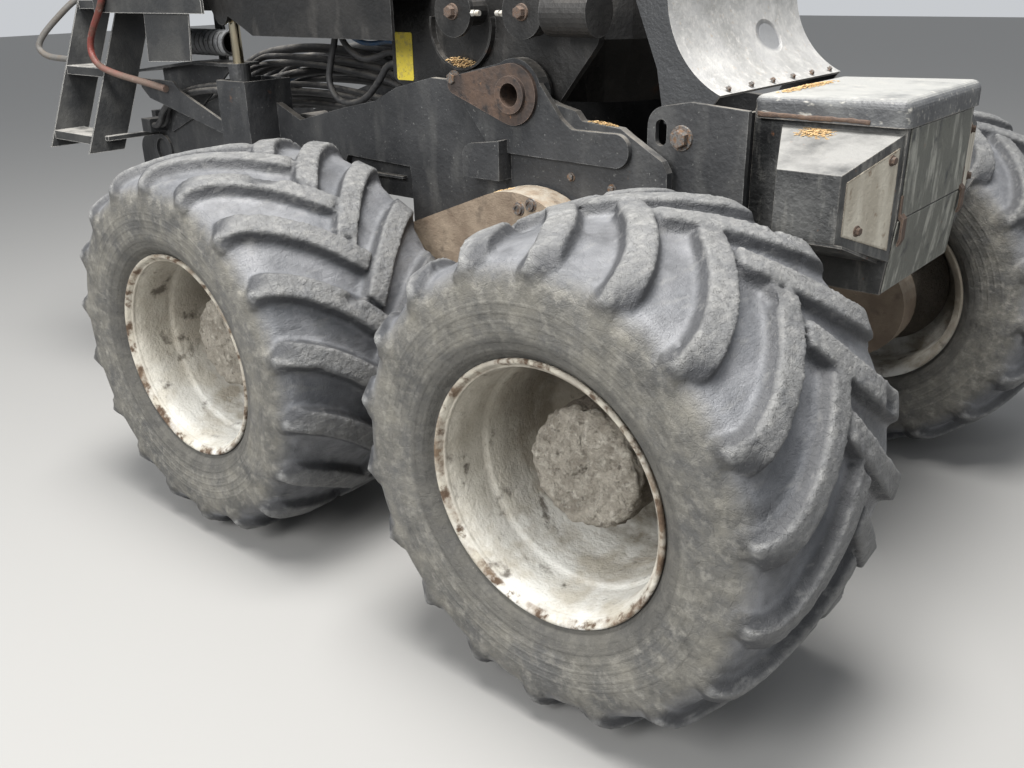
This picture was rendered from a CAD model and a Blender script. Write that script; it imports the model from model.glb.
import bpy
import bmesh
import random
from math import atan2, cos, pi, radians, sin, sqrt
from mathutils import Matrix, Vector, noise


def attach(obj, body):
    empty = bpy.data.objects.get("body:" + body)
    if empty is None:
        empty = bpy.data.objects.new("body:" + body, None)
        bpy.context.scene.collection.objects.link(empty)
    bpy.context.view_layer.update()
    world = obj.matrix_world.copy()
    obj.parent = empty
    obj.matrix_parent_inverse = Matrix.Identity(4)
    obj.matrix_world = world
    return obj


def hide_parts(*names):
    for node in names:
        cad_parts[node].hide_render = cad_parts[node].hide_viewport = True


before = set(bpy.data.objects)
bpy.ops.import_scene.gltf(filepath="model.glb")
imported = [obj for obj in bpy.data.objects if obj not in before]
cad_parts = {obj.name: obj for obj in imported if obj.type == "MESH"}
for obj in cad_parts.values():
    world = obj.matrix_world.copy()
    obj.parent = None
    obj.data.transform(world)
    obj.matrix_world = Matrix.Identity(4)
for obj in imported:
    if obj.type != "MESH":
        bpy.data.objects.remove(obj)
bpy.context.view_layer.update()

# Camera: stands off the right front corner and looks down at the near front tyre.
# It was solved from the rim circles and the tyres' outlines.
camera = bpy.data.objects.new("camera", bpy.data.cameras.new("camera"))
bpy.context.collection.objects.link(camera)
turn, tip, roll = 0.708673724, 0.401075636, -0.0215835897
stand_point = (4.77269, -3.02496, 0.75502)
focal_pixels, frame_pixels, sensor = 963.167, 1024, 36.0
back = Vector((sin(turn) * cos(tip), -cos(turn) * cos(tip), sin(tip)))
right = Vector((cos(turn), sin(turn), 0.0))
up = back.cross(right)
right, up = right * cos(roll) + up * sin(roll), up * cos(roll) - right * sin(roll)
camera.matrix_world = Matrix.Translation(stand_point) @ Matrix((right, up, back)).transposed().to_4x4()
camera.data.sensor_width = sensor
camera.data.lens = focal_pixels / frame_pixels * sensor
bpy.context.scene.camera = camera


# Hanging hoses: three rubber hoses, the thinnest blue, drop from under the deck and loop forward to
# the right cheek. Rubber over braid, dull with dust. They hang free between their two ends.
class Finish:
    """A surface built up in coats, as dirt, rust and wear build up on a machine."""

    def __init__(self, name, colour, roughness, metallic=0.0):
        self.material = bpy.data.materials.new(name)
        self.material.use_nodes = True
        self.nodes = self.material.node_tree.nodes
        self.links = self.material.node_tree.links
        self.colour = (*colour, 1.0)
        self.roughness = roughness
        self.bumped = None
        self.place = self.nodes.new("ShaderNodeTexCoord").outputs["Object"]
        self.shader = self.wired(self.nodes["Principled BSDF"], {
            "Base Color": self.colour, "Roughness": roughness, "Metallic": metallic})

    def wired(self, node, sockets):
        """The node, with each socket given a value or linked from another node's output."""
        for socket, given in sockets.items():
            if isinstance(given, bpy.types.NodeSocket):
                self.links.new(given, node.inputs[socket])
            else:
                node.inputs[socket].default_value = given
        return node

    def range(self, source, low, high):
        """Nothing at low, full at high."""
        return self.wired(self.nodes.new("ShaderNodeMapRange"), {
            "Value": source, "From Min": low, "From Max": high}).outputs["Result"]

    def spread(self, stretch, shift=(0, 0, 0)):
        """The piece's own coordinates, stretched and shifted."""
        return self.wired(self.nodes.new("ShaderNodeMapping"), {
            "Vector": self.place, "Location": shift, "Scale": stretch}).outputs["Vector"]

    def patches(self, scale, low, high, stretch=(1, 1, 1), detail=8.0, ragged=0.6):
        """Irregular patches of a size, stretched along an axis where they run."""
        cloud = self.wired(self.nodes.new("ShaderNodeTexNoise"), {
            "Vector": self.spread(stretch), "Scale": scale, "Detail": detail, "Roughness": ragged})
        return self.range(cloud.outputs["Fac"], low, high)

    def cells(self, scale, low, high, feature="F1", stretch=(1, 1, 1)):
        """Small grains, spots or a net of cracks."""
        grain = self.nodes.new("ShaderNodeTexVoronoi")
        grain.feature = feature
        self.wired(grain, {"Vector": self.spread(stretch), "Scale": scale})
        return self.range(grain.outputs["Distance"], low, high)

    def kept(self, name):
        """The reading of a name that is kept on the mesh."""
        node = self.nodes.new("ShaderNodeAttribute")
        node.attribute_name = name
        return node.outputs["Fac"]

    def reading(self, name, low, high):
        """A range of a reading kept on the mesh, such as how far a point stands proud."""
        return self.range(self.kept(name), low, high)

    def rings(self, name, pitch):
        """Fine rings round the axis, a pitch apart, from a reading kept on the mesh."""
        spaced = self.nodes.new("ShaderNodeMath")
        spaced.operation = "MULTIPLY"
        self.wired(spaced, {0: self.kept(name), 1: 2 * pi / pitch})
        wave = self.nodes.new("ShaderNodeMath")
        wave.operation = "SINE"
        self.wired(wave, {0: spaced.outputs[0]})
        return self.range(wave.outputs[0], 0.2, 1.0)

    def facing(self, axis, low, high):
        """How far the surface faces along X, Y or Z."""
        normal = self.nodes.new("ShaderNodeNewGeometry").outputs["Normal"]
        split = self.wired(self.nodes.new("ShaderNodeSeparateXYZ"), {0: normal})
        return self.range(split.outputs[axis], low, high)

    def along(self, axis, low, high):
        """How far along X, Y or Z the point lies."""
        split = self.wired(self.nodes.new("ShaderNodeSeparateXYZ"), {0: self.place})
        return self.range(split.outputs[axis], low, high)

    def edges(self, width, low=0.04, high=0.25):
        """The sharp edges of the piece, where paint wears through first."""
        soft = self.wired(self.nodes.new("ShaderNodeBevel"), {"Radius": width})
        soft.samples = 4
        flat = self.nodes.new("ShaderNodeNewGeometry")
        likeness = self.nodes.new("ShaderNodeVectorMath")
        likeness.operation = "DOT_PRODUCT"
        self.wired(likeness, {0: soft.outputs["Normal"], 1: flat.outputs["Normal"]})
        return self.range(likeness.outputs["Value"], 1 - low, 1 - high)

    def hollow(self, centre, size):
        """A soft-edged oval spot at a place."""
        away = self.nodes.new("ShaderNodeVectorMath")
        away.operation = "LENGTH"
        self.wired(away, {0: self.spread([1 / s for s in size], [-c / s for c, s in zip(centre, size)])})
        return self.range(away.outputs["Value"], 1.05, 0.80)

    def both(self, first, second, how="MULTIPLY"):
        """Where both masks are high, or the two joined in another way; the second may be a number."""
        node = self.nodes.new("ShaderNodeMath")
        node.operation = how
        node.use_clamp = True
        return self.wired(node, {0: first, 1: second}).outputs[0]

    def coat(self, where, colour, roughness=None, strength=1.0):
        """Lays a colour over the earlier coats where the mask is high."""
        if strength < 1.0:
            where = self.both(where, strength)
        mix = self.nodes.new("ShaderNodeMix")
        mix.data_type = "RGBA"
        self.colour = self.wired(mix, {0: where, 6: self.colour, 7: (*colour, 1.0)}).outputs[2]
        self.wired(self.shader, {"Base Color": self.colour})
        if roughness is not None:
            dull = self.wired(self.nodes.new("ShaderNodeMix"), {0: where, 2: self.roughness, 3: roughness})
            self.roughness = dull.outputs[0]
            self.wired(self.shader, {"Roughness": self.roughness})
        return self

    def relief(self, height, depth):
        """Raises the surface where the mask is high, by a depth in metres."""
        bump = self.wired(self.nodes.new("ShaderNodeBump"), {"Distance": depth, "Height": height})
        if self.bumped:
            self.wired(bump, {"Normal": self.bumped})
        self.bumped = bump.outputs["Normal"]
        self.wired(self.shader, {"Normal": self.bumped})
        return self

    def spots(self, scale, low, high, colour, roughness=None, strength=1.0, within=None, **shape):
        """A coat in irregular patches, kept within another mask where one is given."""
        where = self.patches(scale, low, high, **shape)
        return self.coat(where if within is None else self.both(within, where), colour, roughness, strength)

    def grain(self, scale, low, high, depth, within=None, **shape):
        """Relief in irregular patches, kept within another mask where one is given."""
        where = self.patches(scale, low, high, **shape)
        return self.relief(where if within is None else self.both(within, where), depth)


def hose_line(name, points, radius, finish):
    """A smooth round hose or bar whose line is drawn to the given points."""
    line = bpy.data.curves.new(name, "CURVE")
    line.dimensions = "3D"
    spline = line.splines.new("NURBS")
    spline.points.add(len(points) - 1)
    for point, place in zip(spline.points, points):
        point.co = (*place, 1.0)
    spline.order_u = 3
    spline.use_endpoint_u = True
    spline.resolution_u = 8
    line.resolution_u = 8
    line.bevel_depth = radius
    line.bevel_resolution = 4
    line.use_fill_caps = True
    line.materials.append(finish.material)
    piece = bpy.data.objects.new(name, line)
    bpy.context.collection.objects.link(piece)
    return piece


hose_black = Finish("hose_black", (0.022, 0.022, 0.024), 0.45)
hose_black.spots(60.0, 0.35, 0.75, (0.05, 0.05, 0.05), 0.7)
hose_black.spots(25.0, 0.35, 0.6, (0.16, 0.15, 0.135), 0.85, within=hose_black.facing("Z", 0.1, 0.9))
hose_black.grain(420.0, 0.3, 0.7, 0.0004)
hose_blue = Finish("hose_blue", (0.02, 0.07, 0.16), 0.45)
hose_blue.spots(50.0, 0.4, 0.7, (0.09, 0.11, 0.13), 0.7)
hose_blue.grain(400.0, 0.3, 0.7, 0.0003)

deck_hoses = (
    ("deck_hose_1", 0.013, 0.748, hose_black,
     ((1.690, -0.430, 0.688), (1.690, -0.430, 0.560), (1.652, -0.436, 0.470), (1.625, -0.440, 0.372),
      (1.690, -0.442, 0.300), (1.830, -0.440, 0.312), (1.930, -0.437, 0.400), (1.975, -0.435, 0.462),
      (2.020, -0.435, 0.462))),
    ("deck_hose_2", 0.012, 0.43, hose_black,
     ((1.740, -0.470, 0.688), (1.740, -0.470, 0.600), (1.770, -0.462, 0.520), (1.850, -0.448, 0.468),
      (1.945, -0.437, 0.488), (1.978, -0.435, 0.503), (2.020, -0.435, 0.503))),
    ("deck_hose_3", 0.009, 0.31, hose_blue,
     ((1.800, -0.500, 0.688), (1.800, -0.500, 0.620), (1.830, -0.490, 0.560), (1.880, -0.460, 0.530),
      (1.945, -0.438, 0.534), (1.980, -0.435, 0.541), (2.020, -0.435, 0.541))),
)
for name, radius, length, finish, points in deck_hoses:
    hose = hose_line(f"hanging_{name}", points, radius, finish)
    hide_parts(name)
    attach(hose, "tilt_frame")
    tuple(points[0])

# Inner hoses: two bundles of rubber hoses, all black but one, that leave the rear bulkhead, run forward
# between the frame's arms and drop into the belly. Nine thicker ones lie over two rows of seven.
for number in range(14):
    row, column = divmod(number, 7)
    y = -0.33 + 0.062 * column + 0.012 * row
    top = (0.21, 0.455, 0.33, 0.275, 0.41, 0.37, 0.24)[column] - 0.032 * row
    sway = 0.03 * sin(number * 2.1)
    hose = hose_line(f"inner_hose_{number + 1}", (
        (0.360, y, 0.122 + 0.040 * row), (0.560, y, 0.128 + 0.042 * row), (0.860, y + sway, top - 0.02),
        (1.200, y - sway, top), (1.600, y + sway, top - 0.015), (1.920, y, top - 0.07),
        (2.180, y, 0.060 + 0.03 * row), (2.330, y, -0.040), (2.420, y, -0.070)),
        0.013 if number % 3 else 0.016, hose_blue if number == 5 else hose_black)
    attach(hose, "frame")

for number in range(9):
    y = -0.20 + 0.058 * number
    top = 0.485 - 0.013 * (number * 4 % 9)
    hose = hose_line(f"upper_hose_{number + 1}", (
        (0.360, y, 0.205), (0.520, y, 0.235), (0.800, y, top - 0.05), (1.150, y + 0.02, top),
        (1.550, y - 0.02, top - 0.005), (1.850, y, top - 0.07), (2.050, y, 0.200), (2.160, y, 0.060),
        (2.260, y, -0.040), (2.340, y, -0.072)),
        0.019, hose_black)
    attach(hose, "frame")

# Floor and light: a plain pale floor under soft studio light from above and from the right.
# The floor keeps the carriage's shadow; the pale background is its own colour.
GROUND = -1.1205
floor_mesh = bmesh.new()
bmesh.ops.create_grid(floor_mesh, x_segments=1, y_segments=1, size=40.0)
bmesh.ops.translate(floor_mesh, verts=floor_mesh.verts, vec=(2.5, 0.0, GROUND))
floor_data = bpy.data.meshes.new("floor")
floor_mesh.to_mesh(floor_data)
floor_mesh.free()
floor = bpy.data.objects.new("floor", floor_data)
bpy.context.collection.objects.link(floor)
pale_floor = Finish("pale_floor", (0.27, 0.268, 0.262), 0.9)
floor_data.materials.append(pale_floor.material)

world = bpy.data.worlds.new("studio")
bpy.context.scene.world = world
world.use_nodes = True
sky = world.node_tree.nodes["Background"]
sky.inputs["Color"].default_value = (0.93, 0.96, 1.0, 1.0)
sky.inputs["Strength"].default_value = 0.62
bpy.context.scene.view_settings.view_transform = "Standard"


def soft_lamp(name, place, aim, size, power, colour):
    """A large square lamp turned towards a point."""
    data = bpy.data.lights.new(name, "AREA")
    data.size = size
    data.energy = power
    data.color = colour
    lamp = bpy.data.objects.new(name, data)
    bpy.context.collection.objects.link(lamp)
    lamp.matrix_world = (Matrix.Translation(place)
                         @ (Vector(aim) - Vector(place)).to_track_quat("-Z", "Y").to_matrix().to_4x4())


soft_lamp("overhead_lamp", (3.2, -1.6, 6.0), (2.6, -0.8, -0.3), 3.2, 1000.0, (1.0, 0.98, 0.95))
soft_lamp("side_lamp", (2.9, -7.0, 3.4), (2.8, -0.8, -0.3), 3.0, 480.0, (1.0, 0.99, 0.97))


# Tyres: wide forestry tyres of moulded rubber, worn grey and scuffed. Two rows of long curved lugs
# run from the shoulders and meet in turn at the middle; the rear pair's tread runs the other way
# round. The tyres are seated on the rims between the flanges.
WHEELS = (("front", 3.459), ("rear", 1.881))
WHEEL_Z = -0.440
RIM_FACE = 1.400
RIM_WIDTH = 0.690
LUGS = 18
INNER_REACH, INNER_STRETCH, INNER_SHIFT = 0.885, 1.37, -8.3
SHOULDER_LIMIT = -0.0395
MELT_SIZE, KEPT_FACES = 0.0086, 0.60
FIRST_TREAD_STATION = 11
# The bare carcass from the bead to the middle, as set-in from the rim's face and radius.
TREAD_LINE = (
    (0.0143, 0.3373), (0.0143, 0.3623), (0.006, 0.372), (-0.010, 0.380), (-0.022, 0.398), (-0.027, 0.417),
    (-0.031, 0.421), (-0.030, 0.426), (-0.034, 0.450), (-0.038, 0.490), (-0.039, 0.520), (-0.034, 0.556),
    (-0.020, 0.586), (0.008, 0.606), (0.050, 0.617), (0.120, 0.626), (0.225, 0.632), (0.345, 0.635),
)
# A lug's middle line, as set-in, angle in degrees, half width, and its radius at foot and top.
LUG_LINE = (
    (-0.034, -12.6, 0.016, 0.500, 0.544), (-0.033, -12.2, 0.028, 0.528, 0.574),
    (-0.024, -11.7, 0.036, 0.560, 0.608), (-0.003, -10.8, 0.038, 0.590, 0.636),
    (0.032, -9.6, 0.037, 0.602, 0.656), (0.090, -7.4, 0.036, 0.612, 0.667),
    (0.160, -3.9, 0.036, 0.618, 0.674), (0.225, 0.0, 0.036, 0.622, 0.677),
    (0.290, 4.6, 0.036, 0.624, 0.678), (0.345, 9.2, 0.036, 0.624, 0.678),
    (0.386, 12.4, 0.034, 0.624, 0.676),
)


def off_axle(co):
    """Distance of a point from the wheel's axle."""
    return sqrt(co.x ** 2 + co.z ** 2)


def between(table, share):
    """Reads a table of stations at a share of its length, smoothly."""
    spot = share * (len(table) - 1)
    first = min(int(spot), len(table) - 2)
    rest = spot - first
    return [a + (b - a) * rest for a, b in zip(table[first], table[first + 1])]


def carcass_radius(set_in):
    """Radius of the bare tyre between the lugs, at a distance in from the rim face."""
    set_in = min(set_in, RIM_WIDTH - set_in)
    line = TREAD_LINE[FIRST_TREAD_STATION:]
    if set_in <= line[0][0]:
        return line[0][1]
    for (y0, r0), (y1, r1) in zip(line, line[1:]):
        if set_in <= y1:
            return r0 + (r1 - r0) * (set_in - y0) / (y1 - y0)
    return line[-1][1]


def lug_bar(inner_row):
    """A subdivided bar bent along the lug's line, from the shoulder to its nose, with hollow sides.
    The inner row's lugs are shorter, lean more and stand between the outer ones."""
    lug = bmesh.new()
    bmesh.ops.create_cube(lug, size=1.0)
    lengthwise = [e for e in lug.edges if abs((e.verts[0].co - e.verts[1].co).x) > 0.9]
    bmesh.ops.subdivide_edges(lug, edges=lengthwise, cuts=18, use_grid_fill=True)
    upright = [e for e in lug.edges if abs((e.verts[0].co - e.verts[1].co).z) > 0.9]
    bmesh.ops.subdivide_edges(lug, edges=upright, cuts=3, use_grid_fill=True)
    reach = INNER_REACH if inner_row else 1.0
    for vert in lug.verts:
        share, across, height = (vert.co.x + 0.5) * reach, vert.co.y * 2, vert.co.z + 0.5
        set_in, angle, half, foot, top = between(LUG_LINE, share)
        before = between(LUG_LINE, max(share - 0.05, 0.0))
        after = between(LUG_LINE, min(share + 0.05, 1.0))
        heading = atan2(radians(after[1] - before[1]) * 0.66, after[0] - before[0])
        radius = foot + (top - foot) * height
        wide = half * (1.0 + 0.75 * (1 - height) ** 2) * across
        in_from = max(set_in - wide * sin(heading), SHOULDER_LIMIT)
        if inner_row:
            angle = angle * INNER_STRETCH + INNER_SHIFT
            in_from = RIM_WIDTH - in_from
        turn = radians(angle) + wide * cos(heading) / radius
        vert.co = (radius * cos(turn), in_from, radius * sin(turn))
    return lug


def spun(line, steps, closed=True):
    """A mesh turned about Y from a closed or open line of (set-in, radius) points."""
    shape = bmesh.new()
    verts = [shape.verts.new((radius, set_in, 0.0)) for set_in, radius in line]
    edges = [shape.edges.new(pair) for pair in zip(verts, verts[1:])]
    if closed:
        edges.append(shape.edges.new((verts[-1], verts[0])))
    bmesh.ops.spin(shape, geom=verts + edges, cent=(0, 0, 0), axis=(0, 1, 0), angle=2 * pi, steps=steps,
                   use_merge=True)
    bmesh.ops.remove_doubles(shape, verts=shape.verts, dist=0.00005)
    bmesh.ops.recalc_face_normals(shape, faces=shape.faces)
    return shape


def made_object(name, shape, finish, smooth=True):
    """Turns a finished bmesh into an object with its material."""
    data = bpy.data.meshes.new(name)
    shape.to_mesh(data)
    shape.free()
    data.materials.append(finish.material)
    if smooth:
        data.shade_smooth()
    piece = bpy.data.objects.new(name, data)
    bpy.context.collection.objects.link(piece)
    return piece


def mark(data, name, reading):
    """Keeps a reading of each vertex on the mesh for its material."""
    layer = data.attributes.new(name, "FLOAT", "POINT")
    layer.data.foreach_set("value", [reading(vert.co) for vert in data.vertices])


def at_wheels(data, name, nodes, turns=(0.0, 0.0), rear_way=1):
    """Places copies of a wheel's mesh at the four wheels, outer face out. Turns are the front and
    rear wheels' turns in degrees; the rear ones run the other way round where the way is -1."""
    for place, x in WHEELS:
        for side, out in (("right", -1), ("left", 1)):
            shape = bmesh.new()
            shape.from_mesh(data)
            way = rear_way if place == "rear" else 1
            if out * way > 0:
                bmesh.ops.reverse_faces(shape, faces=shape.faces)
            bmesh.ops.scale(shape, vec=(1, -out, way), verts=shape.verts)
            bmesh.ops.rotate(shape, cent=(0, 0, 0), verts=shape.verts,
                             matrix=Matrix.Rotation(-radians(turns[place == "rear"]), 3, "Y"))
            bmesh.ops.translate(shape, verts=shape.verts, vec=(x, out * RIM_FACE, WHEEL_Z))
            copy = data.copy()
            shape.to_mesh(copy)
            shape.free()
            piece = bpy.data.objects.new(f"{name}_{place}_{side}", copy)
            bpy.context.collection.objects.link(piece)
            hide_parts(*[f"{node}_{place}_{side}" for node in nodes])
            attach(piece, f"wheel_{place}_{side}")


tyre_shape = spun(TREAD_LINE + tuple((RIM_WIDTH - y, r) for y, r in TREAD_LINE[::-1]), 136)
for inner_row in (False, True):
    lug = lug_bar(inner_row)
    cast = bpy.data.meshes.new("lug")
    for number in range(LUGS):
        lug.to_mesh(cast)
        tyre_shape.from_mesh(cast)
        bmesh.ops.rotate(lug, cent=(0, 0, 0), verts=lug.verts,
                         matrix=Matrix.Rotation(-2 * pi / LUGS, 3, "Y"))
    lug.free()
bmesh.ops.recalc_face_normals(tyre_shape, faces=tyre_shape.faces)
rubber = Finish("worn_rubber", (0.088, 0.093, 0.103), 0.6)
tyre_blank = made_object("tyre_blank", tyre_shape, rubber)
melt = tyre_blank.modifiers.new("melt", "REMESH")
melt.mode = "VOXEL"
melt.voxel_size = MELT_SIZE
thin = tyre_blank.modifiers.new("thin", "DECIMATE")
thin.ratio = KEPT_FACES
tyre_mesh = bpy.data.meshes.new_from_object(tyre_blank.evaluated_get(bpy.context.evaluated_depsgraph_get()))
bpy.data.objects.remove(tyre_blank)
tyre_shape = bmesh.new()
tyre_shape.from_mesh(tyre_mesh)
bmesh.ops.smooth_vert(tyre_shape, verts=tyre_shape.verts, factor=0.6, use_axis_x=True, use_axis_y=True,
                      use_axis_z=True)
tyre_shape.normal_update()
for vert in tyre_shape.verts:
    radius = off_axle(vert.co)
    stand = radius - carcass_radius(vert.co.y)
    if stand > 0.008:
        chip = noise.noise(vert.co * 17.0) + 0.5 * noise.noise(vert.co * 41.0)
        gouge = noise.noise(vert.co * 11.0 + Vector((5.0, 2.0, 8.0)))
        vert.co += vert.normal * (0.0015 * chip - 0.020 * max(0.0, chip - 0.52)
                                  - 0.045 * max(0.0, gouge - 0.46))
    elif radius > 0.43:
        vert.co += vert.normal * 0.0014 * noise.noise(vert.co * 9.0)
tyre_shape.to_mesh(tyre_mesh)
tyre_shape.free()
tyre_mesh.shade_smooth()
mark(tyre_mesh, "stand", lambda co: off_axle(co) - carcass_radius(co.y))
mark(tyre_mesh, "radius", off_axle)

lug_top = rubber.reading("stand", 0.030, 0.046)
side_wall = rubber.reading("radius", 0.600, 0.556)
bead = rubber.reading("radius", 0.428, 0.418)
flank = rubber.both(rubber.reading("stand", 0.004, 0.015), rubber.reading("stand", 0.046, 0.034))
rubber.spots(2.6, 0.36, 0.68, (0.112, 0.114, 0.12), 0.46)
rubber.spots(9.0, 0.46, 0.74, (0.044, 0.045, 0.048), 0.6, 0.9, stretch=(1.0, 0.5, 1.0), detail=12.0)
rubber.spots(6.0, 0.42, 0.66, (0.195, 0.199, 0.21), 0.38, 0.85, within=rubber.reading("stand", 0.01, 0.002),
             detail=10.0)
rubber.coat(flank, (0.028, 0.029, 0.032), 0.55, 0.78)
rubber.spots(34.0, 0.56, 0.74, (0.205, 0.204, 0.198), 0.7, 0.5, stretch=(1.0, 0.25, 1.0), detail=12.0)
rubber.spots(13.0, 0.22, 0.56, (0.175, 0.175, 0.17), 0.8, 0.75, within=lug_top, detail=14.0, ragged=0.7)
rubber.spots(60.0, 0.48, 0.68, (0.29, 0.287, 0.275), 0.85, 0.5, within=lug_top, stretch=(1.0, 0.4, 1.0),
             detail=12.0)
rubber.spots(110.0, 0.58, 0.68, (0.045, 0.045, 0.045), 0.9, 0.6, within=lug_top, detail=10.0)
rubber.coat(side_wall, (0.066, 0.064, 0.058), 0.75, 0.8)
rubber.spots(7.0, 0.4, 0.66, (0.19, 0.18, 0.152), 0.9, 0.85, within=side_wall, detail=14.0, ragged=0.72)
rubber.spots(30.0, 0.5, 0.72, (0.29, 0.278, 0.245), 0.9, 0.6, within=side_wall, detail=14.0, ragged=0.65)
rubber.spots(16.0, 0.54, 0.74, (0.04, 0.039, 0.036), 0.9, 0.55, within=side_wall, detail=14.0)
rubber.coat(bead, (0.06, 0.058, 0.053), 0.8, 0.6)
rubber.spots(170.0, 0.67, 0.74, (0.34, 0.33, 0.3), 0.9, 0.45, detail=4.0)
rubber.relief(rubber.both(rubber.reading("radius", 0.535, 0.52), rubber.rings("radius", 0.024)), 0.0011)
rubber.grain(14.0, 0.4, 0.75, 0.0045, stretch=(1.0, 0.4, 1.0), detail=12.0)
rubber.grain(45.0, 0.46, 0.62, -0.0022, within=lug_top, detail=12.0)
rubber.grain(240.0, 0.35, 0.65, 0.0006)
crack = rubber.cells(20.0, 0.0, 0.030, "DISTANCE_TO_EDGE", (1.0, 2.2, 1.0))
cracked = rubber.both(lug_top, rubber.patches(6.0, 0.46, 0.60))
rubber.relief(rubber.both(crack, rubber.both(cracked, -1.0, "MULTIPLY_ADD"), "MAXIMUM"), 0.0008)
at_wheels(tyre_mesh, "worn_tyre", ["tyre"], turns=(-1.6, 3.7), rear_way=-1)

# Rims: deep welded steel rims, once cream, with rolled flanges rubbed to rust and a barrel caked
# with dried mud. A disc far inside carries the rim on the hub.
rim_line = (
    (0.002, 0.349), (-0.003, 0.353), (-0.003, 0.359), (0.003, 0.3625), (0.012, 0.361), (0.0137, 0.356),
    (0.0137, 0.338), (0.020, 0.3366), (0.300, 0.3366), (0.345, 0.330), (0.390, 0.3366), (0.670, 0.3366),
    (0.6763, 0.338), (0.6763, 0.356), (0.680, 0.362), (0.688, 0.3635), (0.694, 0.360), (0.692, 0.354),
    (0.684, 0.346), (0.672, 0.330), (0.640, 0.327), (0.500, 0.322), (0.473, 0.318), (0.473, 0.172),
    (0.455, 0.172), (0.455, 0.296), (0.446, 0.306), (0.420, 0.312), (0.330, 0.316), (0.250, 0.317),
    (0.175, 0.317), (0.166, 0.320), (0.160, 0.326), (0.150, 0.327), (0.085, 0.326), (0.060, 0.327),
    (0.040, 0.331), (0.022, 0.338), (0.010, 0.344),
)
rim_shape = spun(rim_line, 112)
dirty_cream = Finish("dirty_cream_paint", (0.58, 0.555, 0.49), 0.6)
rim_piece = made_object("rim_blank", rim_shape, dirty_cream)
rim_mesh = rim_piece.data
bpy.data.objects.remove(rim_piece)
mark(rim_mesh, "depth", lambda co: co.y)
mark(rim_mesh, "radius", off_axle)
mark(rim_mesh, "low", lambda co: -co.z / max(0.001, off_axle(co)))
dirty_cream.spots(5.0, 0.35, 0.62, (0.4, 0.37, 0.31), 0.8, detail=12.0)
deep = dirty_cream.reading("depth", 0.08, 0.36)
dirty_cream.spots(6.0, 0.3, 0.55, (0.25, 0.22, 0.175), 0.95, within=deep, detail=12.0)
dirty_cream.spots(4.0, 0.3, 0.6, (0.2, 0.175, 0.14), 0.9, 0.7, within=dirty_cream.reading("low", 0.1, -0.7))
dirty_cream.spots(9.0, 0.38, 0.56, (0.68, 0.68, 0.65), 0.65, 0.75,
                  within=dirty_cream.reading("low", 0.2, 0.9), detail=10.0)
dirty_cream.spots(13.0, 0.6, 0.7, (0.075, 0.062, 0.048), 0.95, 0.85, detail=14.0)
lip = dirty_cream.both(dirty_cream.reading("radius", 0.336, 0.345), dirty_cream.reading("depth", 0.05, 0.012))
dirty_cream.spots(13.0, 0.42, 0.6, (0.145, 0.1, 0.064), 0.8, within=lip, detail=14.0)
dirty_cream.spots(15.0, 0.48, 0.62, (0.45, 0.42, 0.35), 0.6, within=lip, detail=14.0)
dirty_cream.spots(26.0, 0.52, 0.62, (0.085, 0.055, 0.035), 0.9, within=lip)
dirty_cream.grain(12.0, 0.35, 0.7, 0.004, detail=12.0)
dirty_cream.grain(90.0, 0.35, 0.7, 0.001)
at_wheels(rim_mesh, "deep_rim", ["rim"])

# Hubs: cast planet drums under a thick crust of dried mud, with a small hole at the centre and two
# plug recesses. The flange behind the disc bolts to it, and the neck runs on the spindle.
hub_line = (
    (0.173, 0.0), *((0.170 + 0.00025 * k, 0.010 * k) for k in range(1, 15)), (0.1735, 0.148), (0.180, 0.160),
    (0.190, 0.167), (0.215, 0.1695), (0.300, 0.1695), (0.455, 0.1695), (0.473, 0.1695), (0.473, 0.250),
    (0.495, 0.250), (0.495, 0.150), (0.700, 0.150), (0.7047, 0.142), (0.7047, 0.0905), (0.500, 0.0905),
    (0.500, 0.0),
)
hub_shape = spun(hub_line, 96, closed=False)
drum_edges = [e for e in hub_shape.edges if max(v.co.y for v in e.verts) < 0.31 and e.calc_length() > 0.02]
bmesh.ops.subdivide_edges(hub_shape, edges=drum_edges, cuts=5, use_grid_fill=True)
bmesh.ops.triangulate(hub_shape, faces=[f for f in hub_shape.faces if len(f.verts) > 4])
hub_shape.normal_update()
for vert in hub_shape.verts:
    if vert.co.y < 0.30:
        crust = (0.8 * noise.noise(vert.co * 24.0) + 0.8 * noise.noise(vert.co * 50.0)
                 + 0.4 * noise.noise(vert.co * 95.0))
        ridge = abs(noise.noise(vert.co * 12.0 + Vector((4.0, 1.0, 9.0))))
        vert.co += vert.normal * (0.0100 * crust - 0.009 * max(0.0, 0.10 - ridge) / 0.10)
        for hole_x, hole_z, hole_radius in ((0.0, 0.0, 0.020), (0.105, 0.045, 0.026), (-0.02, 0.112, 0.017)):
            away = sqrt((vert.co.x - hole_x) ** 2 + (vert.co.z - hole_z) ** 2)
            if away < hole_radius and vert.co.y < 0.19:
                vert.co.y += 0.012 * (1 - (away / hole_radius) ** 2)
dried_mud = Finish("dried_mud", (0.56, 0.515, 0.44), 0.95)
dried_mud.spots(14.0, 0.4, 0.62, (0.33, 0.295, 0.245), detail=12.0, ragged=0.7)
dried_mud.spots(45.0, 0.52, 0.66, (0.68, 0.64, 0.56), detail=12.0)
dried_mud.spots(36.0, 0.57, 0.68, (0.22, 0.195, 0.16), detail=14.0)
dried_mud.coat(dried_mud.reading("depth", 0.19, 0.225), (0.14, 0.115, 0.088), 0.95, 0.85)
dried_mud.grain(38.0, 0.3, 0.72, 0.022, detail=12.0, ragged=0.75)
dried_mud.relief(dried_mud.cells(120.0, 0.0, 0.6), 0.0012)
hub_piece = made_object("hub_blank", hub_shape, dried_mud)
hub_mesh = hub_piece.data
bpy.data.objects.remove(hub_piece)
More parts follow.
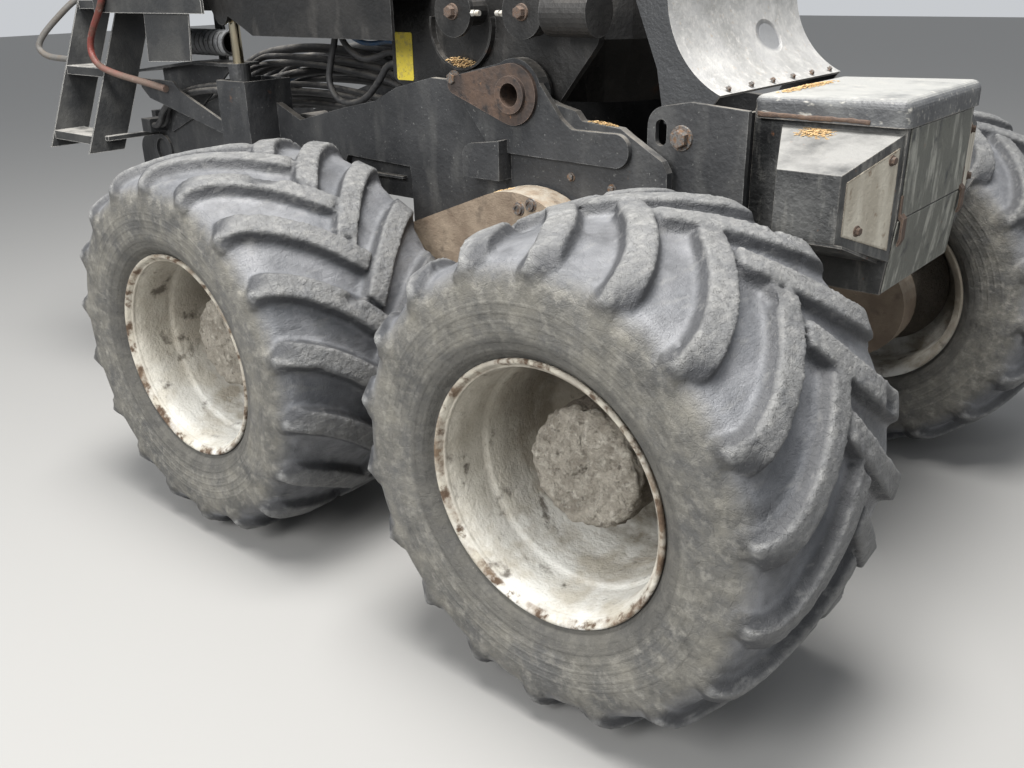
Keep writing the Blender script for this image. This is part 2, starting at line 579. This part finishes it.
mark(hub_mesh, "depth", lambda co: co.y)
at_wheels(hub_mesh, "muddy_hub", ["hub"])


# Bogie cases and axle: cast iron gear cases, brown with rust and oil where grease holds the dirt,
# bolted from outside with socket screws, and the axle housing with its journals across the frame.
def dress(finish, *nodes):
    """Gives CAD nodes their finish."""
    for node in nodes:
        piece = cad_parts[node]
        if not piece.material_slots:
            piece.data.materials.append(finish.material)
        for slot in piece.material_slots:
            slot.material = finish.material


case_iron = Finish("rusty_case_iron", (0.15, 0.112, 0.08), 0.7)
case_iron.spots(7.0, 0.4, 0.62, (0.24, 0.19, 0.14), 0.85, detail=12.0)
case_iron.spots(16.0, 0.57, 0.74, (0.065, 0.05, 0.038), 0.6, 0.8, detail=12.0)
case_iron.spots(22.0, 0.4, 0.6, (0.28, 0.25, 0.205), 0.9, within=case_iron.facing("Z", 0.1, 0.8))
case_iron.grain(30.0, 0.3, 0.7, 0.002, detail=12.0)
case_iron.grain(200.0, 0.35, 0.65, 0.0006)
dress(case_iron, "bogie_case_right", "bogie_case_left", "axle_housing")


def bolt(shape, place, out, across, height, socket=False, hexagon=True):
    """Adds one bolt head on its washer, which stands out from a face along a direction."""
    direction = Vector(out).normalized()
    turned_out = direction.to_track_quat("Z", "Y").to_matrix().to_4x4()
    base = Matrix.Translation(place) @ turned_out
    bmesh.ops.create_cone(shape, cap_ends=True, segments=20, radius1=across * 0.78, radius2=across * 0.74,
                          depth=height * 0.25, matrix=base @ Matrix.Translation((0, 0, height * 0.125)))
    corner = across / 2 / cos(pi / 6)
    head = bmesh.ops.create_cone(shape, cap_ends=True, segments=6 if hexagon else 24, radius1=corner,
                                 radius2=corner * 0.96, depth=height * 0.75,
                                 matrix=base @ Matrix.Translation((0, 0, height * 0.62)))["verts"]
    top = max({f for v in head for f in v.link_faces},
              key=lambda f: (f.calc_center_median() - Vector(place)).dot(direction))
    if socket:
        bmesh.ops.inset_region(shape, faces=[top], thickness=across * 0.20)
        bmesh.ops.inset_region(shape, faces=[top], thickness=across * 0.01, depth=-height * 0.45)
    else:
        bmesh.ops.inset_region(shape, faces=[top], thickness=across * 0.06, depth=height * 0.06)


def bolt_set(name, body, finish, heads, mirror_too=True, **shape_of):
    """A group of like bolt heads on one body: (place, direction) pairs."""
    shape = bmesh.new()
    for place, out in heads:
        bolt(shape, place, out, **shape_of)
        if mirror_too:
            bolt(shape, (place[0], -place[1], place[2]), (out[0], -out[1], out[2]), **shape_of)
    bmesh.ops.recalc_face_normals(shape, faces=shape.faces)
    piece = made_object(name, shape, finish, smooth=False)
    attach(piece, body)


bolt_steel = Finish("dull_bolt_steel", (0.16, 0.155, 0.15), 0.5, 0.6)
bolt_steel.spots(90.0, 0.45, 0.62, (0.2, 0.12, 0.07), 0.8)
bolt_steel.spots(240.0, 0.5, 0.65, (0.06, 0.055, 0.05), 0.7)
bolt_steel.grain(500.0, 0.35, 0.65, 0.0003)
rust_bolt = Finish("rusty_bolt_steel", (0.095, 0.074, 0.062), 0.7, 0.3)
rust_bolt.spots(110.0, 0.42, 0.62, (0.12, 0.08, 0.058), 0.9)
rust_bolt.spots(200.0, 0.55, 0.68, (0.09, 0.055, 0.04), 0.8)
rust_bolt.grain(380.0, 0.35, 0.65, 0.0006)
for side, out in (("right", -1), ("left", 1)):
    screws = []
    for x, z in ((2.787, 0.059), (2.837, 0.078), (2.95, 0.058), (3.06, -0.01), (2.20, -0.20)):
        screws.append(((x, out * 0.655, z), (0, out, 0)))
    bolt_set(f"case_screws_{side}", f"bogie_{side}", bolt_steel, screws, mirror_too=False,
             across=0.030, height=0.012, socket=True, hexagon=False)

# Front frame: thick welded plates in black satin paint, dusty and spattered pale, with bare edges.
# The side plates carry the hollow tilt pins, and the yoke at the back carries the coupling bores.
frame_paint = Finish("dusty_black_paint", (0.017, 0.018, 0.02), 0.42)
frame_paint.spots(3.0, 0.38, 0.66, (0.036, 0.037, 0.039), 0.55, detail=10.0)
frame_paint.spots(10.0, 0.5, 0.75, (0.07, 0.07, 0.068), 0.7, 0.8, stretch=(1.0, 1.0, 0.35), detail=12.0)
frame_paint.spots(95.0, 0.67, 0.73, (0.2, 0.2, 0.19), 0.8, 0.6, detail=3.0)
frame_paint.spots(9.0, 0.3, 0.6, (0.17, 0.155, 0.135), 0.9, 0.85, within=frame_paint.facing("Z", 0.3, 0.95))
frame_paint.spots(24.0, 0.4, 0.56, (0.2, 0.2, 0.195), 0.5, 0.8, within=frame_paint.edges(0.005))
frame_paint.spots(8.0, 0.68, 0.74, (0.11, 0.055, 0.03), 0.9, 0.8, detail=12.0)
frame_paint.grain(55.0, 0.35, 0.7, 0.0009)
frame_paint.grain(6.0, 0.3, 0.7, 0.002)
dress(frame_paint, "frame_side_right", "frame_side_left", "rear_cross_tube", "belly_plate", "front_beam",
      "articulation_yoke", "cylinder_housings", "cylinder_barrel_right", "cylinder_barrel_left",
      "front_bracket", "rail_bracket", "hose_block", "hose_tray")

rusty_pin = Finish("rubbed_rusty_steel", (0.042, 0.032, 0.028), 0.6, 0.2)
rusty_pin.spots(9.0, 0.4, 0.58, (0.085, 0.055, 0.04), 0.75, detail=12.0)
rusty_pin.spots(22.0, 0.52, 0.66, (0.022, 0.02, 0.02), 0.55, detail=12.0)
rusty_pin.spots(40.0, 0.66, 0.74, (0.22, 0.115, 0.06), 0.85)
rusty_pin.coat(rusty_pin.edges(0.004), (0.24, 0.18, 0.15), 0.5, 0.6)
rusty_pin.grain(50.0, 0.3, 0.7, 0.0015, detail=10.0)
dress(rusty_pin, "tilt_pins")
bolt_set("flag_bolts", "frame", bolt_steel, [((2.405, -0.530, 0.437), (0, -1, 0))],
         across=0.034, height=0.022)
bolt_set("side_plate_bolts", "frame", bolt_steel,
         [((2.89, -0.510, 0.150), (0, -1, 0)), ((3.05, -0.510, 0.130), (0, -1, 0))],
         across=0.020, height=0.012)

# Levelling cylinders: steel rods plated with chrome and yellowed by oil. Each slides out of a barrel
# that swings on a pin in its housing, and its eye is pinned to a lug of the deck.
rod_chrome = Finish("oiled_chrome", (0.62, 0.55, 0.4), 0.16, 1.0)
rod_chrome.spots(30.0, 0.45, 0.7, (0.42, 0.34, 0.22), 0.35, stretch=(1, 1, 0.2))
rod_chrome.grain(300.0, 0.4, 0.6, 0.00008, stretch=(1, 1, 0.1))
dress(rod_chrome, "cylinder_rod_right", "cylinder_rod_left")

# Tilting frame: plate cheeks, the pedestal and the deck, all welded plate in black paint darkened by
# oil, under a ring of bare steel. Round caps lock the cheek's pins, each with a hex bolt at its
# middle and a grease fitting beside it. A blank yellow plate is fixed at the right cheek's back end.
oily_paint = Finish("oily_black_paint", (0.008, 0.008, 0.008), 0.38)
oily_paint.spots(4.0, 0.42, 0.68, (0.02, 0.019, 0.018), 0.5, detail=10.0)
oily_paint.spots(14.0, 0.56, 0.76, (0.05, 0.047, 0.043), 0.7, 0.7, stretch=(1.0, 1.0, 0.35), detail=12.0)
oily_paint.spots(9.0, 0.4, 0.66, (0.11, 0.095, 0.078), 0.9, 0.7, within=oily_paint.facing("Z", 0.3, 0.95))
oily_paint.spots(24.0, 0.4, 0.56, (0.11, 0.11, 0.108), 0.45, 0.8, within=oily_paint.edges(0.005))
oily_paint.spots(9.0, 0.66, 0.74, (0.08, 0.042, 0.026), 0.9, 0.7, detail=12.0)
oily_paint.grain(50.0, 0.35, 0.7, 0.001)
dress(oily_paint, "tilt_cheek_right", "tilt_cheek_left", "crane_pedestal", "base_cylinders", "cab_deck")
bolt_set("cap_bolts", "tilt_frame", rust_bolt,
         [((2.448, -0.5730, 0.650), (0, -1, 0)), ((2.742, -0.5730, 0.650), (0, -1, 0))],
         across=0.034, height=0.024)
fitting_zinc = Finish("dull_zinc", (0.46, 0.45, 0.42), 0.45, 0.5)
fitting_zinc.spots(120.0, 0.45, 0.65, (0.3, 0.27, 0.22), 0.8)
fitting_zinc.grain(500.0, 0.35, 0.65, 0.0003)
fittings = bmesh.new()
for cap_edge, out in ((2.5275, 1), (2.6625, -1)):
    for y_side in (-1, 1):
        for start, end, radius, sides in ((0.0, 0.012, 0.011, 6), (0.012, 0.018, 0.006, 16),
                                          (0.018, 0.032, 0.0095, 16)):
            bmesh.ops.create_cone(
                fittings, cap_ends=True, segments=sides, radius1=radius, radius2=radius * 0.9,
                depth=end - start,
                matrix=Matrix.Translation((cap_edge + out * (start + end) / 2, y_side * 0.564, 0.646))
                @ Matrix.Rotation(out * pi / 2, 4, "Y"))
bmesh.ops.recalc_face_normals(fittings, faces=fittings.faces)
grease_fittings = made_object("grease_fittings", fittings, fitting_zinc, smooth=False)
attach(grease_fittings, "tilt_frame")
plate_yellow = Finish("faded_yellow_plate", (0.66, 0.53, 0.055), 0.45)
plate_yellow.spots(40.0, 0.5, 0.66, (0.42, 0.34, 0.09), 0.6, detail=10.0)
plate_yellow.spots(110.0, 0.62, 0.7, (0.1, 0.09, 0.07), 0.8)
plate_yellow.grain(200.0, 0.4, 0.6, 0.0003)
plate = bmesh.new()
bmesh.ops.create_cube(plate, size=1.0, matrix=Matrix.Translation((2.084, -0.4510, 0.491)) @ Matrix.Diagonal(
    (0.086, 0.002, 0.166, 1.0)))
bmesh.ops.bevel(plate, geom=[e for e in plate.edges if abs((e.verts[0].co - e.verts[1].co).y) > 0.001],
                offset=0.008, segments=4, profile=0.5, affect="EDGES", material=-1)
blank_plate = made_object("blank_plate", plate, plate_yellow, smooth=False)
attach(blank_plate, "tilt_frame")
ring_steel = Finish("dusty_ring_steel", (0.2, 0.195, 0.185), 0.45, 0.7)
ring_steel.spots(12.0, 0.42, 0.62, (0.14, 0.105, 0.075), 0.8, detail=10.0)
ring_steel.coat(ring_steel.facing("Z", 0.5, 1.0), (0.22, 0.205, 0.18), 0.8, 0.4)
ring_steel.grain(150.0, 0.35, 0.65, 0.0005)
dress(ring_steel, "slewing_ring")

# Front bracket and guard: the guard is a curved plate worn to bare pale steel, bolted along its
# lower edge, with a dark oval dent.
guard_steel = Finish("worn_bare_steel", (0.46, 0.455, 0.445), 0.42, 0.45)
guard_steel.spots(5.0, 0.4, 0.62, (0.34, 0.337, 0.325), 0.5, detail=12.0)
guard_steel.spots(11.0, 0.46, 0.72, (0.6, 0.59, 0.565), 0.45, 0.8, detail=14.0, ragged=0.65)
guard_steel.spots(48.0, 0.52, 0.7, (0.66, 0.64, 0.61), 0.5, 0.6, detail=12.0)
guard_steel.spots(60.0, 0.62, 0.68, (0.4, 0.33, 0.26), 0.8, 0.6)
guard_steel.coat(guard_steel.facing("Y", -0.6, -0.95), (0.05, 0.052, 0.055), 0.5)
guard_steel.coat(guard_steel.facing("Y", 0.6, 0.95), (0.05, 0.052, 0.055), 0.5)
guard_steel.grain(9.0, 0.3, 0.7, 0.003)
guard_steel.grain(120.0, 0.35, 0.65, 0.0005, stretch=(1, 3, 1))
dent = guard_steel.hollow((3.218, 0.150, 0.549), (0.052, 0.078, 0.060))
guard_steel.coat(dent, (0.24, 0.245, 0.255), 0.4, 0.8)
guard_steel.relief(dent, -0.008)
dress(guard_steel, "guard_plate")
bolt_set("guard_bolts", "frame", bolt_steel,
         [((3.352, -0.36 + 0.144 * k, 0.4335), (0.61, 0, 0.79)) for k in range(6)], mirror_too=False,
         across=0.013, height=0.008)
bolt_set("bracket_bolts", "frame", bolt_steel, [((3.256, -0.450, 0.295), (0, -1, 0))],
         across=0.050, height=0.026)

# Toolbox: folded sheet in dark grey-green paint, scratched and rubbed bright at its edges. It has a
# hinged lid with round edges and a torn lip, over-centre latches on the front, and on each side a
# sloped box that widens towards it, closed by a cream panel with two screws.
box_paint = Finish("scratched_grey_green_paint", (0.108, 0.11, 0.094), 0.5)
box_paint.spots(6.0, 0.38, 0.62, (0.13, 0.132, 0.112), 0.6, detail=12.0)
box_paint.spots(26.0, 0.5, 0.64, (0.32, 0.318, 0.28), 0.65, stretch=(1.0, 1.0, 0.25), detail=12.0)
box_paint.spots(18.0, 0.56, 0.7, (0.04, 0.042, 0.04), 0.5, detail=12.0)
box_paint.spots(30.0, 0.36, 0.5, (0.34, 0.33, 0.3), 0.45, within=box_paint.edges(0.006))
box_paint.spots(30.0, 0.68, 0.73, (0.22, 0.1, 0.05), 0.9, detail=10.0)
box_paint.grain(5.0, 0.3, 0.7, 0.003)
box_paint.grain(80.0, 0.35, 0.65, 0.0008, detail=10.0)
lid_paint = Finish("rubbed_black_lid_paint", (0.06, 0.062, 0.066), 0.4)
lid_paint.spots(7.0, 0.42, 0.62, (0.115, 0.118, 0.118), 0.5, detail=12.0)
lid_paint.spots(4.0, 0.25, 0.5, (0.27, 0.27, 0.258), 0.5, within=lid_paint.facing("Z", 0.6, 0.98),
                detail=10.0)
lid_paint.spots(60.0, 0.58, 0.68, (0.34, 0.33, 0.3), 0.6, stretch=(0.3, 1, 1), detail=10.0)
lid_paint.spots(30.0, 0.36, 0.54, (0.33, 0.3, 0.26), 0.45, within=lid_paint.edges(0.006))
lid_paint.grain(6.0, 0.3, 0.7, 0.003)
lid_paint.grain(90.0, 0.35, 0.65, 0.0007, detail=10.0)
dark_sheet = Finish("dark_sheet_paint", (0.026, 0.027, 0.028), 0.5)
dark_sheet.spots(6.0, 0.38, 0.62, (0.072, 0.073, 0.072), 0.6, detail=12.0)
dark_sheet.spots(24.0, 0.5, 0.66, (0.15, 0.148, 0.138), 0.7, stretch=(1.0, 1.0, 0.25), detail=12.0)
dark_sheet.spots(7.0, 0.25, 0.55, (0.2, 0.198, 0.19), 0.65, within=dark_sheet.facing("Z", 0.4, 0.9),
                 detail=12.0)
dark_sheet.spots(30.0, 0.34, 0.5, (0.3, 0.28, 0.25), 0.5, within=dark_sheet.edges(0.006))
dark_sheet.spots(26.0, 0.66, 0.72, (0.2, 0.095, 0.05), 0.9, detail=10.0)
dark_sheet.grain(5.0, 0.3, 0.7, 0.003)
dark_sheet.grain(80.0, 0.35, 0.65, 0.0008, detail=10.0)
dress(dark_sheet, "toolbox_body", "side_boxes")
rusty_latch = Finish("rusty_latch_steel", (0.085, 0.058, 0.045), 0.75, 0.2)
rusty_latch.spots(60.0, 0.45, 0.62, (0.125, 0.085, 0.062), 0.9, detail=10.0)
rusty_latch.coat(rusty_latch.edges(0.003), (0.26, 0.22, 0.18), 0.5, 0.6)
rusty_latch.grain(220.0, 0.35, 0.65, 0.0006)
dress(rusty_latch, "toolbox_latches")


def sheet_panel(name, corners, out, thickness, finish):
    """A thin flat panel on the toolbox: corners in order and the direction that it stands out."""
    panel = bmesh.new()
    face = panel.faces.new([panel.verts.new(corner) for corner in corners])
    grown = bmesh.ops.extrude_face_region(panel, geom=[face])["geom"]
    bmesh.ops.translate(panel, vec=Vector(out) * thickness,
                        verts=[v for v in grown if isinstance(v, bmesh.types.BMVert)])
    bmesh.ops.recalc_face_normals(panel, faces=panel.faces)
    bmesh.ops.bevel(panel, geom=panel.edges[:], offset=thickness * 0.45, segments=2, profile=0.5,
                    affect="EDGES", material=-1)
    piece = made_object(name, panel, finish, smooth=False)
    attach(piece, "frame")


sheet_panel("box_front_panel", [
    (3.8650, -0.268, 0.348), (3.8650, 0.268, 0.348), (3.8650, 0.268, 0.098), (3.8650, -0.268, 0.098)],
    (1, 0, 0), 0.005, box_paint)
sheet_panel("box_foot_panel", [
    (3.8650, -0.282, 0.094), (3.8650, 0.282, 0.094), (3.8455, 0.282, -0.120), (3.8455, -0.282, -0.120)],
    (0.996, 0, -0.09), 0.004, box_paint)
cream_panel = Finish("rusted_cream_panel", (0.56, 0.525, 0.44), 0.55)
cream_panel.spots(9.0, 0.4, 0.6, (0.38, 0.345, 0.28), 0.7, stretch=(1.0, 1.0, 0.3), detail=12.0)
cream_panel.spots(28.0, 0.6, 0.72, (0.17, 0.115, 0.07), 0.9, 0.8, detail=12.0)
cream_panel.spots(30.0, 0.35, 0.5, (0.095, 0.075, 0.055), 0.9, within=cream_panel.edges(0.012, 0.02, 0.12))
cream_panel.grain(60.0, 0.3, 0.7, 0.0012, detail=10.0)
for side, out in (("right", -1), ("left", 1)):
    flare = bmesh.new()
    corners = [flare.verts.new((x, out * y, z)) for x, y, z in (
        (3.500, 0.2905, 0.3362), (3.860, 0.2905, 0.3362), (3.8058, 0.5712, 0.2608), (3.6242, 0.5712, 0.2608),
        (3.500, 0.2905, -0.024), (3.860, 0.2905, -0.024), (3.8058, 0.5712, 0.0788), (3.6242, 0.5712, 0.0788))]
    bmesh.ops.convex_hull(flare, input=corners)
    bmesh.ops.dissolve_limit(flare, angle_limit=0.02, verts=flare.verts[:], edges=flare.edges[:])
    bmesh.ops.recalc_face_normals(flare, faces=flare.faces)
    bmesh.ops.bevel(flare, geom=flare.edges[:], offset=0.002, segments=2, profile=0.5, affect="EDGES",
                    material=-1)
    flares = made_object(f"side_box_flare_{side}", flare, dark_sheet, smooth=False)
    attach(flares, "frame")
    sheet_panel(f"side_box_panel_{side}", [
        (3.8557, out * 0.312, 0.302), (3.8095, out * 0.545, 0.240), (3.8095, out * 0.545, 0.096),
        (3.8557, out * 0.312, 0.014)], (0.981, out * 0.195, 0), 0.003, cream_panel)
bolt_set("side_panel_screws", "frame", rust_bolt,
         [((3.8260, -0.477, 0.100), (0.981, -0.195, 0)), ((3.8515, -0.347, 0.272), (0.981, -0.195, 0))],
         across=0.020, height=0.012)

HINGE_X, HINGE_Z = 3.404, 0.383
LID_BACK, BACK_RISE, BACK_DROP = 0.397, 0.033, 0.010
lid_shell = bmesh.new()
bmesh.ops.create_cube(lid_shell, size=1.0, matrix=Matrix.Translation((3.6445, 0.0, 0.3910)) @ Matrix.Diagonal(
    (0.465, 0.632, 0.077, 1.0)))
under = min(lid_shell.faces, key=lambda f: f.calc_center_median().z)
rounded = [e for e in lid_shell.edges if under not in e.link_faces]
bmesh.ops.bevel(lid_shell, geom=rounded, offset=0.030, segments=6, profile=0.5, affect="EDGES", material=-1)
under = min(lid_shell.faces, key=lambda f: f.calc_center_median().z)
bmesh.ops.delete(lid_shell, geom=[under], context="FACES_ONLY")
skirt = [v for v in lid_shell.verts if v.co.z < 0.3530]
for vert in skirt:
    vert.co.x += 0.0015 * noise.noise(vert.co * 9.0)
    if vert.co.x < 3.424:
        vert.co.z = LID_BACK
for vert in lid_shell.verts:
    if vert.co.x < 3.45 and vert.co.z > 0.398:
        vert.co.z -= BACK_DROP * (vert.co.z - LID_BACK) / BACK_RISE
bmesh.ops.solidify(lid_shell, geom=lid_shell.faces[:], thickness=0.005)
for out in (-1, 1):
    for low, high, radius in ((0.110, 0.180, 0.009), (0.110, 0.200, 0.006)):
        bmesh.ops.create_cone(
            lid_shell, cap_ends=True, segments=32, radius1=radius, radius2=radius, depth=high - low,
            matrix=Matrix.Translation((HINGE_X, out * (low + high) / 2, HINGE_Z))
            @ Matrix.Rotation(pi / 2, 4, "X"))
    bmesh.ops.create_cube(lid_shell, size=1.0, matrix=Matrix.Translation((3.4105, out * 0.144, 0.3920))
                          @ Matrix.Diagonal((0.012, 0.066, 0.018, 1.0)))
bmesh.ops.recalc_face_normals(lid_shell, faces=lid_shell.faces)
worn_lid = made_object("worn_lid", lid_shell, lid_paint, smooth=False)
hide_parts("toolbox_lid")
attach(worn_lid, "box_lid")
torn = bmesh.new()
bmesh.ops.create_cone(torn, cap_ends=True, segments=12, radius1=0.0075, radius2=0.0060, depth=0.335,
                      matrix=Matrix.Translation((3.600, -0.3150, 0.3640)) @ Matrix.Rotation(pi / 2, 4, "Y"))
bmesh.ops.subdivide_edges(torn, edges=[e for e in torn.edges if e.calc_length() > 0.3], cuts=40)
torn.normal_update()
for vert in torn.verts:
    vert.co += vert.normal * 0.0035 * noise.noise(vert.co * 48.0)
    vert.co.z += 0.005 * noise.noise(Vector((vert.co.x * 11.0, 3.0, 7.0)))
    vert.co.y = max(vert.co.y, -0.3197)
torn_lip = made_object("torn_lid_lip", torn, rusty_latch)
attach(torn_lip, "box_lid")

# Wood chips: small pale splinters of dry wood, thrown up in work, that lie loose in low heaps on
# the ledges.
chip_wood = Finish("dry_wood_chips", (0.42, 0.27, 0.125), 0.9)
chip_wood.spots(160.0, 0.42, 0.58, (0.56, 0.41, 0.215))
chip_wood.spots(230.0, 0.56, 0.64, (0.17, 0.095, 0.045))
chip_wood.grain(900.0, 0.35, 0.65, 0.0002)


def chips(name, body, count, spread, ground, rise):
    """Scatters chips over a spread of X and Y on a surface whose height is given, in a low heap."""
    heap = bmesh.new()
    dice = random.Random(name)
    (x_low, x_high), (y_low, y_high) = spread
    for _ in range(count):
        u, v = (dice.random() + dice.random()) / 2, (dice.random() + dice.random()) / 2
        x, y = x_low + (x_high - x_low) * u, y_low + (y_high - y_low) * v
        heap_height = rise * (1 - (2 * u - 1) ** 2) * (1 - (2 * v - 1) ** 2)
        z = ground(x, y) + 0.0012 + heap_height * dice.random()
        turned_chip = (Matrix.Translation((x, y, z)) @ Matrix.Rotation(dice.uniform(0, pi), 4, "Z")
                       @ Matrix.Rotation(dice.uniform(-0.5, 0.5) * min(1.0, heap_height * 150), 4, "X"))
        bmesh.ops.create_cube(heap, size=1.0, matrix=turned_chip @ Matrix.Diagonal(
            (dice.uniform(0.004, 0.014), dice.uniform(0.002, 0.005), dice.uniform(0.0006, 0.0016), 1.0)))
    piece = made_object(name, heap, chip_wood, smooth=False)
    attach(piece, body)


chips("lid_chips", "box_lid", 420, ((3.450, 3.496), (-0.280, 0.150)),
      lambda x, y: 0.4196 + (x - 3.442) * 0.0247, 0.006)
chips("side_box_chips", "frame", 210, ((3.560, 3.680), (-0.370, -0.298)),
      lambda x, y: 0.335 + (y + 0.290) * 0.268, 0.008)
chips("pocket_chips", "tilt_frame", 230, ((2.305, 2.450), (-0.473, -0.452)),
      lambda x, y: 0.600 - sqrt(0.136 ** 2 - (x - 2.385) ** 2), 0.034)
chips("case_chips", "bogie_right", 150, ((2.610, 2.712), (-0.650, -0.560)),
      lambda x, y: 0.1066 - (2.714 - x) * 0.392, 0.008)
chips("frame_chips", "frame", 110, ((2.932, 3.070), (-0.508, -0.482)),
      lambda x, y: 0.329 - (x - 2.929) * 0.0816, 0.006)

# Ladder and rails: sheet boards and treads in dark paint with bright worn edges, bent round tubes to
# hold on to, one red and one grey, and two black hoses that run down the frame's arm into a block.
ladder_paint = Finish("dark_ladder_paint", (0.022, 0.023, 0.024), 0.5)
ladder_paint.spots(6.0, 0.4, 0.64, (0.05, 0.05, 0.048), 0.7, detail=12.0)
ladder_paint.spots(12.0, 0.3, 0.55, (0.3, 0.29, 0.27), 0.7, within=ladder_paint.facing("Z", 0.4, 0.9))
ladder_paint.coat(ladder_paint.edges(0.005, 0.02, 0.12), (0.46, 0.45, 0.43), 0.45, 0.95)
ladder_paint.grain(70.0, 0.35, 0.65, 0.0008)
dress(ladder_paint, "ladder", "entry_platform")
rail_red = Finish("worn_red_paint", (0.145, 0.032, 0.024), 0.45)
rail_red.spots(14.0, 0.45, 0.62, (0.085, 0.045, 0.032), 0.7, detail=10.0)
rail_red.spots(40.0, 0.6, 0.68, (0.2, 0.165, 0.14), 0.6)
rail_red.coat(rail_red.along("Z", 0.44, 0.36), (0.14, 0.105, 0.085), 0.7, 0.85)
rail_red.grain(90.0, 0.35, 0.65, 0.0006)
rail_grey = Finish("worn_grey_paint", (0.11, 0.105, 0.098), 0.5)
rail_grey.spots(16.0, 0.45, 0.62, (0.11, 0.095, 0.08), 0.75, detail=10.0)
rail_grey.grain(90.0, 0.35, 0.65, 0.0006)
rails = (
    ("handrail", 0.015, rail_red,
     ((0.545, -0.7333, 0.752), (0.523, -0.7333, 0.692), (0.340, -0.7373, 0.524), (0.375, -0.7473, 0.425),
      (0.470, -0.7093, 0.382), (0.640, -0.6643, 0.350), (0.800, -0.6643, 0.330))),
    ("ladder_handle", 0.015, rail_grey,
     ((0.030, -0.6646, 0.425), (-0.060, -0.6646, 0.425), (-0.190, -0.7046, 0.437), (-0.228, -0.7146, 0.500),
      (-0.060, -0.5925, 0.672), (-0.020, -0.5525, 0.700), (0.030, -0.5525, 0.700))),
    ("arm_hose_1", 0.014, hose_black,
     ((1.175, -0.540, 0.350), (1.030, -0.540, 0.350), (0.750, -0.540, 0.312), (0.590, -0.540, 0.236),
      (0.550, -0.540, 0.142), (0.500, -0.540, 0.142))),
    ("arm_hose_2", 0.014, hose_black,
     ((1.175, -0.574, 0.333), (1.030, -0.574, 0.333), (0.750, -0.574, 0.295), (0.590, -0.574, 0.219),
      (0.550, -0.574, 0.142), (0.500, -0.574, 0.142))),
)
for node, radius, finish, points in rails:
    piece = hose_line(f"round_{node}", points, radius, finish)
    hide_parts(node)
    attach(piece, "frame")
    "hose_rubber" if "hose" in node else "rail_paint"

# Air duct: a soft convoluted sleeve of grey fabric, open at both ends, with black bands between its
# folds. It runs forward just above the hose tray.
DUCT_Y, DUCT_Z = -0.500, 0.516
DUCT_FOLDS, FOLD_PITCH = 9, 0.034
duct_line = [(0.780, 0.040), (0.780, 0.048)]
for number in range(DUCT_FOLDS):
    at = 0.786 + FOLD_PITCH * number
    duct_line += [(at, 0.0478), (at + 0.004, 0.0478), (at + 0.009, 0.0525), (at + 0.015, 0.0545),
                  (at + 0.023, 0.0540), (at + 0.029, 0.0515)]
duct_line += [(1.095, 0.048), (1.095, 0.040)]
duct_shape = bmesh.new()
duct_verts = [duct_shape.verts.new((x, 0.0, radius)) for x, radius in duct_line]
duct_edges = [duct_shape.edges.new(pair) for pair in zip(duct_verts, duct_verts[1:] + duct_verts[:1])]
bmesh.ops.spin(duct_shape, geom=duct_verts + duct_edges, cent=(0, 0, 0), axis=(1, 0, 0), angle=2 * pi,
               steps=36, use_merge=True)
bmesh.ops.remove_doubles(duct_shape, verts=duct_shape.verts, dist=0.00005)
bmesh.ops.recalc_face_normals(duct_shape, faces=duct_shape.faces)
bmesh.ops.translate(duct_shape, verts=duct_shape.verts, vec=(0.0, DUCT_Y, DUCT_Z))
duct_grey = Finish("dusty_duct_fabric", (0.135, 0.14, 0.15), 0.8)
duct_grey.spots(20.0, 0.4, 0.62, (0.22, 0.225, 0.23), 0.9)
duct_grey.spots(60.0, 0.56, 0.66, (0.06, 0.06, 0.06), 0.8)
duct_grey.grain(220.0, 0.35, 0.65, 0.0005)
duct = made_object("folded_duct", duct_shape, duct_grey)
mark(duct.data, "fold", lambda co: sqrt((co.y - DUCT_Y) ** 2 + (co.z - DUCT_Z) ** 2))
duct_grey.coat(duct_grey.reading("fold", 0.05, 0.0488), (0.012, 0.012, 0.013), 0.6)
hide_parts("air_duct")
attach(duct, "frame")
